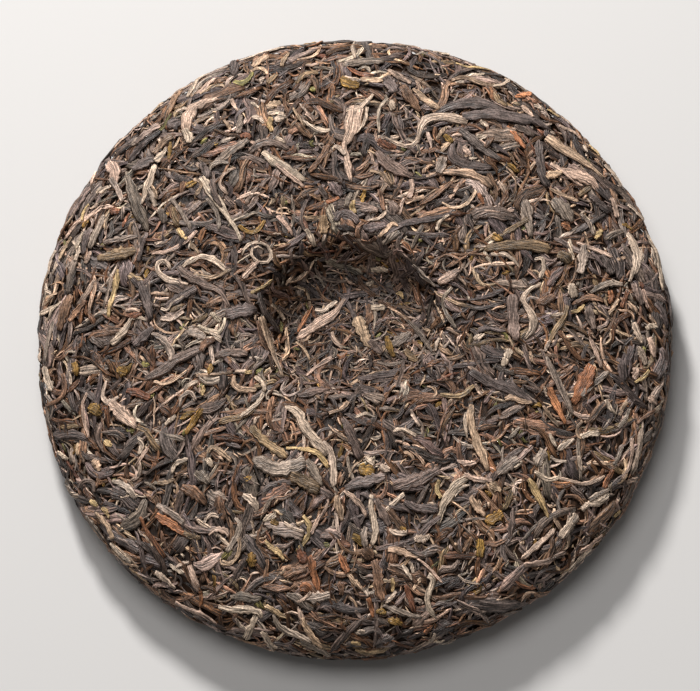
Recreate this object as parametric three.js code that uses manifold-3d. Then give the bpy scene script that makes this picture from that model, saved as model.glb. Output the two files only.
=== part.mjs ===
// A round cake of pressed tea leaves, lying on its domed front with its dimpled back up.
// Lengths are in millimetres and angles in degrees, +Z is up, and the origin is under the middle of
// the cake, on the surface that it rests on. The whole leaves that stand out of the pressed mass are
// fused to it, so the cake is one solid.
import * as THREE from "three";
import { mergeVertices } from "three/addons/utils/BufferGeometryUtils.js";
import Module from "manifold-3d";

// The cake's form
const CAKE_RADIUS = 100;
const EDGE_HEIGHT = 10; // of the widest part, above what the cake rests on
const CREST_HEIGHT = 24.6; // of the back round the dimple
const BACK_FLATNESS = 4.2; // how far out the back stays level
const BACK_ROUNDING = 0.42; // how sharply its shoulder falls to the edge
const FRONT_FLATNESS = 3.2;
const FRONT_ROUNDING = 0.5;
const REST_RADIUS = 40; // of the flat spot that the domed front rests on

// The dimple, pressed in by the knot of the cloth bag, a little off the middle
const DIMPLE_DEPTH = 11.5;
const DIMPLE_FLOOR_RADIUS = 21.5;
const DIMPLE_MOUTH_RADIUS = 32;
const DIMPLE_SHIFT = new THREE.Vector2(-0.3, 6.5);
const DIMPLE_SQUASH = 0.12; // how much shorter it is along Y than along X
const DIMPLE_TILT = 0.05; // its floor falls this much for each millimetre towards +Y
const SHIFT_REACH = 88; // the radius at which the shift has died out

// How uneven the pressing left it
const OUTLINE_WAVES = [
  { turns: 2, size: 0.5, start: 35 },
  { turns: 3, size: 0.45, start: 80 },
  { turns: 7, size: 0.25, start: 10 },
];
const THICKNESS_WAVES = [
  { turns: 1, size: 0.35, start: 200 },
  { turns: 3, size: 0.3, start: 20 },
  { turns: 5, size: 0.25, start: 130 },
];
const ROUGHNESS = 0.35; // of the mass between the leaves

// How finely the mass is faceted
const RINGS = 22;
const SECTORS = 50;
const BEND_WORTH = 22; // a turn of one radian counts as this much length in spacing the rings

// The leaves
const LEAF_STEPS = 4; // stretches along a leaf
const LEAF_RISE = 0.5; // a rolled leaf's height over its width
const LEAF_ROOT = 0.8; // how deep its underside is pressed into the mass
const LEAF_PROUD = 1.35; // the most that a leaf stands out of the mass
const FLOOR_GAP = 0.05; // between the lowest leaves and what the cake rests on
const SEED = 20;

const LEAF_COLOUR = "#5c4c42";
const LEAF_FINISH = { roughness: 0.7, metalness: 0 };

// The leaves that show most on the back, as they lie: the middle's x and y, the heading there from
// +X, the length, the width, the whole turn along the leaf, and the turn of each half the other way.
const SEEN_LEAVES = [
  [-14, -28, -53, 25, 3.2, -35, 0],
  [-14, -35, -24, 14, 1.9, -35, 0],
  [-27, -33, -40, 15, 2.1, 5, 0],
  [28, 71, 6, 17, 3.2, -80, 0],
  [0, 70, 66, 19, 4.8, 15, 0],
  [-3, 57, -70, 13, 2.2, -20, 0],
  [-50, 73, 50, 20, 3.6, -80, 0],
  [-41, 43, -58, 22, 2.5, -10, 12],
  [-68, 44, -73, 19, 3.8, 8, 0],
  [-64, 50, 74, 13, 2.5, -8, 0],
  [-23, 56, -36, 15, 2.6, 0, 0],
  [32, 53, -5, 20, 2.6, -30, 8],
  [40, 73, -4, 26, 4.0, -20, 0],
  [4, 88, 0, 14, 2.6, -15, 0],
  [19, 77, -50, 12, 3.0, 0, 0],
  [41, 81, -5, 20, 2.3, 55, 0],
  [12, 56, -28, 15, 2.8, 35, 0],
  [40, 62, -37, 14, 2.8, 0, 0],
  [88, 29, -82, 15, 2.3, -45, 0],
  [53, 30, 0, 17, 3.0, -8, 0],
  [71, 54, -40, 24, 3.2, 0, 8],
  [59, 56, -80, 14, 2.3, 0, 0],
  [66, 42, -52, 11, 3.4, 0, 0],
  [-60, 21, -45, 13, 1.6, 120, 0],
  [-47, 27, 0, 15, 1.8, -70, 0],
  [-42, 20, 8, 15, 1.7, 35, 0],
  [-74, 27, 13, 12, 2.6, 0, 0],
  [-88, 21, 75, 12, 2.0, 0, 0],
  [-56, -6, 24, 18, 2.9, -12, 0],
  [-56, 30, 22, 16, 1.7, 25, 0],
  [57, 8, -80, 16, 2.5, -30, 25],
  [50, 7, -77, 13, 4.0, 0, 0],
  [41, 13, 25, 15, 2.1, 30, 0],
  [65, -14, -66, 22, 1.8, 0, 0],
  [64, -21, -66, 13, 2.1, 0, 0],
  [72, -13, 63, 14, 3.2, 0, 0],
  [40, -31, -72, 22, 3.2, 10, 0],
  [89, -36, -97, 17, 2.0, -25, 0],
  [47, -14, -20, 25, 3.0, 20, 0],
  [-55, -60, -29, 14, 2.0, 0, 0],
  [-71, -24, -48, 10, 3.2, 0, 0],
  [-33, -23, 35, 19, 1.8, 45, 0],
  [-22, -40, 10, 14, 3.6, 0, 8],
  [-15, -47, -42, 15, 2.6, 0, 0],
  [-14, -61, -95, 12, 1.6, -60, 0],
  [7, -58, -86, 15, 2.1, -20, 0],
  [0, -31, -71, 13, 2.8, 0, 0],
  [20, -44, 16, 16, 2.8, 0, 8],
  [30, -49, 58, 18, 2.3, -35, 0],
  [58, -50, -64, 14, 2.1, 0, 0],
  [57, -65, 40, 15, 2.1, -15, 0],
  [68, -59, 58, 10, 2.4, 0, 0],
  [60, -70, 18, 15, 2.1, 30, 0],
  [24, -82, -85, 13, 2.1, 0, 20],
  [-31, -90, 63, 11, 2.2, 0, 0],
  [-13, -91, -60, 14, 1.9, 0, 0],
  [-10, 8, 35, 18, 2.8, 15, 0],
  [-27, -2, -70, 19, 2.6, 0, 0],
  [-7, -5, 28, 16, 1.6, 0, 0],
];

// The other leaves, laid by rule: how many, the stretch of the outline's length from the middle of
// the back (0) to the middle of the front (1) that they lie on, and how closely they follow the rim.
const SCATTERED_LEAVES = [
  { name: "back", count: 32, from: 0.12, to: 0.4, alongRim: 0 },
  { name: "rim", count: 34, from: 0.42, to: 0.58, alongRim: 0.85 },
  { name: "front", count: 24, from: 0.6, to: 0.76, alongRim: 0.2 },
];
const LEAF_LENGTHS = [12, 22];
const LEAF_WIDTHS = [1.8, 3.4];
const LEAF_TURN = 70; // the most that a scattered leaf turns along its length
const CANDIDATES = 40; // places tried for each, of which the emptiest is taken

const radians = THREE.MathUtils.degToRad;
const random = seededRandom(SEED);
const between = (low, high) => low + (high - low) * random();

// Draws even numbers from 0 to 1, the same ones each run.
function seededRandom(seed) {
  let state = seed;
  return () => {
    state = (Math.imul(state, 1664525) + 1013904223) >>> 0;
    return state / 2 ** 32;
  };
}

function backHeight(radius) {
  const fall = (radius / CAKE_RADIUS) ** BACK_FLATNESS;
  const lens = (CREST_HEIGHT - EDGE_HEIGHT) * (1 - fall) ** BACK_ROUNDING;
  const pressed = 1 - THREE.MathUtils.smoothstep(radius, DIMPLE_FLOOR_RADIUS, DIMPLE_MOUTH_RADIUS);
  return EDGE_HEIGHT + lens - DIMPLE_DEPTH * pressed;
}

function frontHeight(radius) {
  const dome = (at) => EDGE_HEIGHT * (1 - (1 - (at / CAKE_RADIUS) ** FRONT_FLATNESS) ** FRONT_ROUNDING);
  const sunk = dome(REST_RADIUS);
  return (Math.max(dome(radius), sunk) - sunk) * (EDGE_HEIGHT / (EDGE_HEIGHT - sunk));
}

// The cake's outline from the middle of its back, over the edge, to the middle of its front, as
// points (radius, height), with the length along it to each.
function outline() {
  const samples = 240;
  const radiusAt = (share) => CAKE_RADIUS * Math.sin((share * Math.PI) / 2);
  const points = [];
  for (let i = 0; i <= samples; i++) {
    const radius = radiusAt(i / samples);
    points.push(new THREE.Vector2(radius, backHeight(radius)));
  }
  for (let i = samples - 1; i >= 0; i--) {
    const radius = radiusAt(i / samples);
    points.push(new THREE.Vector2(radius, frontHeight(radius)));
  }
  const lengths = [0];
  for (let i = 1; i < points.length; i++) {
    lengths.push(lengths[i - 1] + points[i].distanceTo(points[i - 1]));
  }
  return { points, lengths, whole: lengths.at(-1) };
}

const OUTLINE = outline();

// The outline's point and its direction at a length along it.
function outlineAt(length) {
  const at = THREE.MathUtils.clamp(length, 0, OUTLINE.whole);
  let next = OUTLINE.lengths.findIndex((known) => known > at);
  if (next < 1) next = OUTLINE.lengths.length - 1;
  const before = OUTLINE.points[next - 1];
  const after = OUTLINE.points[next];
  const share = (at - OUTLINE.lengths[next - 1]) / (OUTLINE.lengths[next] - OUTLINE.lengths[next - 1]);
  return { point: before.clone().lerp(after, share), along: after.clone().sub(before).normalize() };
}

// The place on the even cake nearest to a point, found from a length along the outline close to it.
function surfaceNear(point, guess) {
  const radius = Math.hypot(point.x, point.y);
  const around = Math.atan2(point.y, point.x);
  let length = guess;
  for (let i = 0; i < 3; i++) {
    const { point: on, along } = outlineAt(length);
    length += (radius - on.x) * along.x + (point.z - on.y) * along.y;
    length = THREE.MathUtils.clamp(length, 0, OUTLINE.whole);
  }
  const { point: on, along } = outlineAt(length);
  const spun = (x, z) => new THREE.Vector3(x * Math.cos(around), x * Math.sin(around), z);
  return { length, around, place: spun(on.x, on.y), normal: spun(-along.y, along.x) };
}

function waveSum(waves, around) {
  return waves.reduce((sum, w) => sum + w.size * Math.sin(w.turns * around + radians(w.start)), 0);
}

// Moves a point of the even cake to where it lies on the real, uneven one.
function settled(point) {
  const radius = Math.hypot(point.x, point.y);
  const around = Math.atan2(point.y, point.x);
  const outwards = radius / CAKE_RADIUS;
  const swell = 1 + (waveSum(OUTLINE_WAVES, around) / CAKE_RADIUS) * outwards;
  const shift = 1 - THREE.MathUtils.smoothstep(radius, DIMPLE_MOUTH_RADIUS, SHIFT_REACH);
  const raised = THREE.MathUtils.smoothstep(point.z, 0, CREST_HEIGHT);
  const tilt = 1 - THREE.MathUtils.smoothstep(radius, DIMPLE_FLOOR_RADIUS, DIMPLE_MOUTH_RADIUS);
  return new THREE.Vector3(
    point.x * swell + DIMPLE_SHIFT.x * shift,
    point.y * swell + (DIMPLE_SHIFT.y - DIMPLE_SQUASH * point.y) * shift,
    point.z + raised * (outwards * waveSum(THICKNESS_WAVES, around) - DIMPLE_TILT * tilt * point.y),
  );
}

// A closed geometry as a solid, for joining.
function solidOf(geometry, wasm) {
  geometry.deleteAttribute("normal");
  geometry.deleteAttribute("uv");
  const merged = mergeVertices(geometry, 1e-4);
  const corners = merged.index.array;
  const triVerts = [];
  for (let i = 0; i < corners.length; i += 3) {
    const [a, b, c] = corners.slice(i, i + 3);
    if (a !== b && b !== c && c !== a) triVerts.push(a, b, c);
  }
  const mesh = { numProp: 3, vertProperties: merged.attributes.position.array, triVerts: Uint32Array.from(triVerts) };
  return new wasm.Manifold(new wasm.Mesh(mesh));
}

// Points of the outline from the front's middle to the back's, closer together where it bends.
function ringPoints() {
  const worths = [0];
  for (let i = 1; i < OUTLINE.points.length; i++) {
    const length = OUTLINE.lengths[i] - OUTLINE.lengths[i - 1];
    const turn = outlineAt(OUTLINE.lengths[i - 1]).along.angleTo(outlineAt(OUTLINE.lengths[i] + 1e-6).along);
    worths.push(worths[i - 1] + length + BEND_WORTH * turn);
  }
  const points = [];
  for (let i = RINGS; i >= 0; i--) {
    const wanted = (worths.at(-1) * i) / RINGS;
    const index = worths.findIndex((worth) => worth >= wanted - 1e-9);
    points.push(OUTLINE.points[index].clone());
  }
  return points;
}

// The pressed mass: the outline turned round, then roughened and settled.
function massGeometry() {
  const profile = ringPoints();
  const turned = new THREE.LatheGeometry(profile, SECTORS).rotateX(Math.PI / 2);
  turned.deleteAttribute("normal");
  turned.deleteAttribute("uv");
  const geometry = mergeVertices(turned, 1e-3);
  const position = geometry.attributes.position;
  for (let i = 0; i < position.count; i++) {
    const point = new THREE.Vector3().fromBufferAttribute(position, i);
    const resting = point.z < 1e-6;
    const radius = Math.hypot(point.x, point.y);
    if (!resting && radius > 0) {
      const bump = between(-ROUGHNESS, 0);
      const outwards = (radius / CAKE_RADIUS) ** 4;
      point.x += (bump * outwards * point.x) / radius;
      point.y += (bump * outwards * point.y) / radius;
      point.z += bump * (1 - outwards) * Math.sign(point.z - frontHeight(radius) - 1);
    }
    position.setXYZ(i, ...settled(point).toArray());
  }
  return geometry;
}

// The places that a leaf runs through, from its tail to its tip, with its sideways and outward
// directions there. It lies on the cake and turns as it goes.
function leafCourse({ start, guess, heading, length, bend, swing }) {
  const half = LEAF_STEPS * 2;
  const step = length / (2 * half);
  const run = (sense) => {
    let at = surfaceNear(start, guess);
    const forward = heading.clone();
    const course = [];
    for (let i = 0; i <= half; i++) {
      forward.addScaledVector(at.normal, -forward.dot(at.normal)).normalize();
      const side = at.normal.clone().cross(forward);
      course.push({ place: at.place, side, normal: at.normal });
      const share = (sense * (i + 0.5)) / half;
      const turn = sense * (bend / 2 + swing * Math.PI * 0.5 * Math.sin(Math.PI * share)) / half;
      forward.applyAxisAngle(at.normal, radians(turn));
      at = surfaceNear(at.place.clone().addScaledVector(forward, sense * step), at.length);
    }
    return course;
  };
  const whole = [...run(-1).slice(1).reverse(), ...run(1)];
  return whole.filter((_, i) => i % 4 === 0);
}

// A leaf as a thin wavy solid: pointed at both ends, ridged along its back and rooted in the mass.
function leafGeometry(leaf) {
  const course = leafCourse(leaf);
  const last = course.length - 1;
  const vertices = [];
  const triangles = [];
  const rise = Math.min(leaf.width * LEAF_RISE, LEAF_PROUD);
  const spread = (rise + LEAF_ROOT) / rise;
  course.forEach(({ place, side, normal }, i) => {
    const share = i / last;
    const fullness = Math.sin(Math.PI * (0.12 + 0.76 * share)) ** 0.7;
    const wave = 0.85 + 0.15 * Math.cos(3 * Math.PI * share + leaf.length);
    const arch = Math.sin(Math.PI * share) ** 0.5;
    const half = (leaf.width / 2) * fullness * wave;
    const corner = (across, up) => {
      const point = place.clone().addScaledVector(side, across).addScaledVector(normal, up);
      const set = settled(point);
      set.z = Math.max(set.z, FLOOR_GAP);
      vertices.push(...set.toArray());
    };
    corner(-half * spread, -LEAF_ROOT);
    corner(half * spread, -LEAF_ROOT);
    corner(half * 0.2, rise * arch * wave);
  });
  for (let i = 0; i < last; i++) {
    for (let j = 0; j < 3; j++) {
      const [a, b] = [3 * i + j, 3 * i + ((j + 1) % 3)];
      triangles.push(a, b, a + 3, b, b + 3, a + 3);
    }
  }
  triangles.push(0, 2, 1);
  triangles.push(3 * last, 3 * last + 1, 3 * last + 2);
  const geometry = new THREE.BufferGeometry();
  geometry.setAttribute("position", new THREE.Float32BufferAttribute(vertices, 3));
  return geometry.setIndex(triangles);
}

function seenLeaf([x, y, heading, length, width, bend, swing]) {
  const start = unsettled(x, y);
  const direction = new THREE.Vector3(Math.cos(radians(heading)), Math.sin(radians(heading)), 0);
  const guess = lengthAtRadius(Math.hypot(start.x, start.y));
  return { start, guess, heading: direction, length, width, bend, swing };
}

// The point of the even cake's back that settles over a given x and y.
function unsettled(x, y) {
  const point = new THREE.Vector3(x, y, CREST_HEIGHT);
  for (let i = 0; i < 8; i++) {
    const moved = settled(point);
    point.x += x - moved.x;
    point.y += y - moved.y;
  }
  point.z = backHeight(Math.min(Math.hypot(point.x, point.y), CAKE_RADIUS));
  return point;
}

// The length along the outline at which the back reaches a radius.
function lengthAtRadius(radius) {
  const index = OUTLINE.points.findIndex((p) => p.x >= Math.min(radius, CAKE_RADIUS));
  return OUTLINE.lengths[index];
}

// Leaves laid one by one, each on the emptiest of a few random places of its stretch.
function scatteredLeaves(taken) {
  const leaves = [];
  for (const { count, from, to, alongRim } of SCATTERED_LEAVES) {
    for (let i = 0; i < count; i++) {
      let best = { room: -1 };
      for (let j = 0; j < CANDIDATES; j++) {
        const guess = OUTLINE.whole * between(from, to);
        const around = between(-Math.PI, Math.PI);
        const { point } = outlineAt(guess);
        const start = new THREE.Vector3(point.x * Math.cos(around), point.x * Math.sin(around), point.y);
        const room = Math.min(...taken.map((other) => other.distanceTo(start))) * Math.sqrt(point.x);
        if (room > best.room) best = { room, start, guess, around };
      }
      const { start, guess, around } = best;
      const spin = around + Math.PI / 2 + between(-1, 1) * (1 - alongRim) * (Math.PI / 2);
      leaves.push({
        start,
        guess,
        heading: new THREE.Vector3(Math.cos(spin), Math.sin(spin), 0),
        length: between(...LEAF_LENGTHS),
        width: between(...LEAF_WIDTHS),
        bend: between(-LEAF_TURN, LEAF_TURN),
        swing: between(-LEAF_TURN, LEAF_TURN) / 3,
      });
      taken.push(start);
    }
  }
  return leaves;
}

// The mass with every leaf joined to it. Where leaves close a space off, it is filled, and a loose
// scrap is dropped, as only the largest body is kept.
function cakeGeometry(wasm) {
  const seen = SEEN_LEAVES.map(seenLeaf);
  const leaves = [...seen, ...scatteredLeaves(seen.map((leaf) => leaf.start))];
  let cake = solidOf(massGeometry(), wasm);
  for (const leaf of leaves) {
    cake = cake.add(solidOf(leafGeometry(leaf), wasm));
  }
  const bodies = cake.decompose().sort((a, b) => b.volume() - a.volume());
  const { vertProperties, triVerts } = bodies[0].getMesh();
  const geometry = new THREE.BufferGeometry();
  geometry.setAttribute("position", new THREE.BufferAttribute(vertProperties, 3));
  return geometry.setIndex(new THREE.BufferAttribute(triVerts, 1));
}

const wasm = await Module();
wasm.setup();

const teaCake = new THREE.Mesh(
  cakeGeometry(wasm),
  new THREE.MeshStandardMaterial({ color: LEAF_COLOUR, ...LEAF_FINISH }),
);
teaCake.name = "tea_cake";

const group = new THREE.Group();
group.add(teaCake);

export default group;
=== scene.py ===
import math
from types import SimpleNamespace

import bpy
import numpy as np
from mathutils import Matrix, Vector


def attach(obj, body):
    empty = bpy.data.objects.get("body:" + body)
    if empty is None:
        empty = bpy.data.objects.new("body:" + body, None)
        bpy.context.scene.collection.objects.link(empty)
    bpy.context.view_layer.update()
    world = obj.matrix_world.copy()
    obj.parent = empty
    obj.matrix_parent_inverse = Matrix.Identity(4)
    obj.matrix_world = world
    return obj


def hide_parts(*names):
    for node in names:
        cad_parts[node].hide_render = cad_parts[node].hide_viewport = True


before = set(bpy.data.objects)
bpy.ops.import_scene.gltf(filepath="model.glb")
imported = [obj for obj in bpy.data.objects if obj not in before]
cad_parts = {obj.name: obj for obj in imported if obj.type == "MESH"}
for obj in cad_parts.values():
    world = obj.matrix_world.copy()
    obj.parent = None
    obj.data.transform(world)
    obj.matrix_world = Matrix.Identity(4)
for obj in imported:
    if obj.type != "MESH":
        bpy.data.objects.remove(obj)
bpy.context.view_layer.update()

NODE = "tea_cake"
MM = 0.001
TURN = 2 * math.pi
SEED = 11

# The cake's form in millimetres, the same as the solid's. A wave has how many times it goes up and
# down round the cake, its size, and the angle in degrees that it starts at.
CAKE_RADIUS = 100.0
EDGE_HEIGHT = 10.0
CREST_HEIGHT = 24.6
BACK_FLATNESS = 4.2
BACK_ROUNDING = 0.42
FRONT_FLATNESS = 3.2
FRONT_ROUNDING = 0.5
REST_RADIUS = 40.0
DIMPLE_DEPTH = 11.5
DIMPLE_FLOOR_RADIUS = 21.5
DIMPLE_MOUTH_RADIUS = 32.0
DIMPLE_SHIFT = (-0.3, 6.5)
DIMPLE_SQUASH = 0.12
DIMPLE_TILT = 0.05
SHIFT_REACH = 88.0
OUTLINE_WAVES = [(2, 0.5, 35), (3, 0.45, 80), (7, 0.25, 10)]
THICKNESS_WAVES = [(1, 0.35, 200), (3, 0.3, 20), (5, 0.25, 130)]

# The layer of leaves, in millimetres: the height grid's cells, how deep the mass lies under the even
# surface, how high a leaf lies over it on an even heap, how softly the lowest are held above the
# floor, how far the flat charts go past the rim and are smoothed, and where each pixel is looked at
CELL = 0.4
UNDER_LAYER = 1.3
TOP_LEVEL = 0.6
STAY_ABOVE = 0.3
CHART_OVERLAP = 25
EVENING_REACH = 4.0
LOOKS = ((-0.3, -0.3), (-0.3, 0.3), (0.3, -0.3), (0.3, 0.3), (0, 0))

# How much of the heap under it a leaf follows, how much of the heap's swell is taken off again, how
# wide leaves are on the dimple's floor against the others, up to which length along the outline they
# count as there, and the lengths between which the floor's flatness and painted shade fade out
PRESSED = 0.8
EVENED = 0.9
FLOOR_LEAVES = 0.65
FLOOR_LIMIT = DIMPLE_FLOOR_RADIUS + 2
FLOOR_FADE = (DIMPLE_FLOOR_RADIUS - 2, DIMPLE_FLOOR_RADIUS + 6)

# How many more leaves start on the back, on the dimple's floor and in the middle of the front, how
# far past the rim the back's extra ones go, and how wide the front's middle is
BACK_CROWD = 1.5
FLOOR_CROWD = 1.8
FRONT_CROWD = 0.6
PAST_RIM = 12
FRONT_MIDDLE = 25

# How leaves run: mostly along the rim in a band over it, give or take a little, elsewhere any way,
# and with uneven turns. A hooked one bends at least this far. More of them are short than long.
RIM_BAND = 16.0
RIM_SHARE = 0.9
RIM_LOOSENESS = 0.35
HOOKED_BEND = 1.8
SWING_SIZE = 3
UNEVEN_TURNS = 0.13
LENGTH_LEAN = 1.3

# Values drawn at random are given by the lowest and how much more they may be: how far a leaf's ends
# are drawn out and how sharply, the sizes of ribs, and how often these wave along it
POINT_REACH = (0.12, 0.4)
POINT_POWER = (0.25, 0.85)
END_WIDTH = 0.02
RIB_SIZES = (0.4, 0.8)
RIB_WAVES = (0.3, 1.2)
RIB_LEVEL = 0.55
RIB_SWELL = 0.6

# The leaves read off the photograph: how much wider they are made where each pixel has its width and
# where the whole leaf has one, and the limits of their width and taper
WIDENED_BY_PIXEL = 1.08
WIDENED_WHOLE = 1.25
WIDEST_SHOWN = 4.8
THINNEST = 0.1
STEPS_BETWEEN = 12

# A leaf's form, as shares of its width or thickness, how much it twists against how it is tipped, and
# how much flatter it is on the dimple's floor
RAGGED = 0.14
THICK_ENDS = 1.15
EDGE_SHARE = 0.3
ARCH_POWER = 0.7
TWIST = 1.5
DIMPLE_FLATNESS = 0.6

# A leaf's shades, as shares or as powers of e: the painted highlight on its edges, how far its painted
# rib light is lowered, its patchiness, its painted shade down in the heap and on the dimple's floor, and
# how its grain is slanted and moved
EDGE_PAINTED_HIGHLIGHT = 0.3
PAINTED_LIGHT_OFFSET = 0.1
PATCHINESS = 0.12
PAINTED_DEPTH_SHADE = 0.45
PAINTED_DEPTH_RANGE = (-1.2, 0.5)
DIMPLE_PAINTED_SHADE = 0.22
SLANT = 0.6
GRAIN_SPREAD = 50

# The pressed mass, its umber darkened as painted shade for the gaps between the leaves. Its roughness
# and mottling have a size, the size of their lumps and a seed.
MASS_ROUGHNESS = [(0.35, 2.6, 3), (0.3, 5.5, 4)]
MASS_MOTTLING = (0.35, 3.0, 5)
MASS_PAINTED_SHADE = 0.45
MASS_GRAIN = 0.1
NOISE_WAVES = 14
NOISE_RATES = (0.6, 0.9)
NOISE_LEVEL = 5

# Where faces lie for baking: a rectangle for each leaf, and a circle for each side of the mass
BAKE_ASPECT = 2.4
END_GAP = 0.06
SIDE_GAP = 0.1
BAKE_RADIUS = 0.24

# The materials: ribs and streaks from a noise drawn out along the leaf, the streaks being painted shade
# where the ribs are low and painted highlight where they are high; spots from an even one
STREAK_SCALE = (2.9, 0.2, 1)
STREAK_RANGE = (0.37, 0.66)
SPOTS_A_METRE = 1500.0
SPOT_RANGE = (0.3, 0.7)
SPOT_SHADES = (0.6, 1.47)
ROUGHNESS = (0.34, 0.6)
RIB_DEPTH = 0.0009

# How fine the outline and the meshes are
OUTLINE_SAMPLES = 4001
OUTLINE_STEPS = 4400
OUTLINE_SMOOTHING = 41
TRIANGLES_A_PIECE = 176_000
MASS_RINGS = 140
MASS_SECTORS = 140
FINER = 4

# How a leaf lies on the heap: the places across it that are looked at, as shares of half its width,
# the shares by which the heights found along it are smoothed, how much the highest counts, how much
# lower its edges are, and how far under the top and how little of it may show
ACROSS = np.array([-0.8, -0.4, 0.0, 0.4, 0.8])
SOFTEN = np.array([1, 2, 3, 4, 3, 2, 1]) / 16
SOFTEN_AGAIN = [0.25, 0.5, 0.25]
RESTS_ON_HIGHEST = 0.6
EDGE_DROP = 0.6
SLIVER = 0.15
LEAST_SHOWN = 0.04

# The camera in millimetres and the photograph's size in pixels
CAMERA_DISTANCE = 2400.0
CAMERA_TARGET = (-1.1, 0.1, 13.0)
CAMERA_LEAN = math.radians(11.5)
VIEW_WIDTH = 223.0
PHOTO_SIZE = (700, 691)
PIXEL = VIEW_WIDTH / PHOTO_SIZE[0]

# The studio in metres and watts
FLOOR_SIZE = 6
FLOOR_COLOUR = (0.72, 0.71, 0.7, 1)
FLOOR_ROUGHNESS = 0.9
WORLD_COLOUR = (1, 0.99, 0.97, 1)
WORLD_STRENGTH = 0.1
LIT_PLACE = (0, 0, 0.015)
LIGHTS = [
    dict(name="key", place=(-0.36, 1.15, 0.87), size=0.26, power=25.6, colour=(1, 0.98, 0.96)),
    dict(name="fill", place=(-0.25, 0.4, 1.55), size=1.0, power=8.6, colour=(1, 0.98, 0.97)),
]
SENSOR = 36

# Colours as a screen shows them
COLOURS = {
    "slate": (96, 83, 78),
    "ink": (62, 50, 44),
    "mauve": (123, 104, 94),
    "brown": (125, 95, 75),
    "umber": (98, 68, 47),
    "olive": (132, 109, 83),
    "grey": (148, 131, 117),
    "tan": (188, 158, 131),
    "rose": (198, 168, 148),
    "cream": (229, 203, 179),
    "orange": (123, 81, 60),
    "rust": (163, 110, 77),
    "ochre": (146, 112, 58),
    "straw": (222, 188, 136),
    "green": (124, 116, 70),
}
PALEST = 0.62

rng = np.random.default_rng(SEED)


def linear(colour):
    """A screen colour as the renderer counts it."""
    part = np.asarray(colour, float) / 255
    return np.where(part < 0.04045, part / 12.92, ((part + 0.055) / 1.055) ** 2.4)


def smoothstep(value, low, high):
    share = np.clip((value - low) / (high - low), 0, 1)
    return share * share * (3 - 2 * share)


def dot(a, b):
    return np.sum(a * b, -1)


def unit(a):
    return a / np.maximum(np.linalg.norm(a, axis=-1, keepdims=True), 1e-9)


def angle_around(points):
    return np.arctan2(points[..., 1], points[..., 0])


def running_length(points):
    """The length along a line of points, at each of them."""
    return np.concatenate([[0], np.cumsum(np.hypot(*np.diff(points[:, :2], axis=0).T))])


def smoothed(row, kernel):
    return np.convolve(np.pad(row, len(kernel) // 2, "edge"), kernel, "valid")


def drawn(low, more, shape):
    """Random values from low up to low + more."""
    return low + more * rng.random(shape)


def back_height(radius):
    lens = (CREST_HEIGHT - EDGE_HEIGHT) * (1 - (radius / CAKE_RADIUS) ** BACK_FLATNESS) ** BACK_ROUNDING
    pressed = 1 - smoothstep(radius, DIMPLE_FLOOR_RADIUS, DIMPLE_MOUTH_RADIUS)
    return EDGE_HEIGHT + lens - DIMPLE_DEPTH * pressed


def front_height(radius):
    def dome(at):
        return EDGE_HEIGHT * (1 - (1 - (at / CAKE_RADIUS) ** FRONT_FLATNESS) ** FRONT_ROUNDING)

    sunk = dome(REST_RADIUS)
    return (np.maximum(dome(radius), sunk) - sunk) * (EDGE_HEIGHT / (EDGE_HEIGHT - sunk))


def make_outline():
    """The outline from the middle of the back to the middle of the front, evenly stepped."""
    radius = CAKE_RADIUS * np.sin(np.linspace(0, math.pi / 2, OUTLINE_SAMPLES))
    back = np.column_stack([radius, back_height(radius)])
    front = np.column_stack([radius, front_height(radius)])[-2::-1]
    points = np.vstack([back, front])
    length = running_length(points)
    even = np.linspace(0, length[-1], OUTLINE_STEPS)
    r = np.interp(even, length, points[:, 0])
    z = np.interp(even, length, points[:, 1])
    kernel = np.ones(OUTLINE_SMOOTHING) / OUTLINE_SMOOTHING
    along = np.gradient(np.column_stack([r, z]), axis=0)
    along = np.column_stack([smoothed(row, kernel) for row in along.T])
    along /= np.linalg.norm(along, axis=1)[:, None]
    return SimpleNamespace(length=even, r=r, z=z, along_r=along[:, 0], along_z=along[:, 1], whole=even[-1])


OUTLINE = make_outline()
HALF_WAY = np.interp(0.0, OUTLINE.along_r[::-1], OUTLINE.length[::-1])


def outline_at(length):
    """The outline's radius, height and direction at lengths along it."""
    rows = (OUTLINE.r, OUTLINE.z, OUTLINE.along_r, OUTLINE.along_z)
    return [np.interp(length, OUTLINE.length, row) for row in rows]


def nearest(points, length):
    """The places on the even cake nearest to points, from lengths along the outline near them."""
    radius = np.hypot(points[..., 0], points[..., 1])
    for _ in range(2):
        r, z, along_r, along_z = outline_at(length)
        length = length + (radius - r) * along_r + (points[..., 2] - z) * along_z
        length = np.clip(length, 0, OUTLINE.whole)
    return places(length, angle_around(points))


def places(length, around):
    """Places on the even cake, with the directions out of it, along its outline and round it."""
    r, z, along_r, along_z = outline_at(length)
    cos, sin = np.cos(around), np.sin(around)
    return SimpleNamespace(
        length=length,
        point=np.stack([r * cos, r * sin, z], -1),
        normal=np.stack([-along_z * cos, -along_z * sin, along_r], -1),
        outward=np.stack([along_r * cos, along_r * sin, along_z], -1),
        circling=np.stack([-sin, cos, np.zeros_like(sin)], -1),
    )


def stop_at(at, forward):
    """What is kept of places that courses pass, and their directions there, laid level."""
    forward = unit(forward - at.normal * dot(forward, at.normal)[:, None])
    side = np.cross(at.normal, forward)
    stop = dict(point=at.point, normal=at.normal, side=side, length=at.length)
    return dict(stop, side_out=dot(side, at.outward)), forward


def joined(stops, axis):
    return SimpleNamespace(**{name: np.stack([stop[name] for stop in stops], axis) for name in stops[0]})


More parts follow.
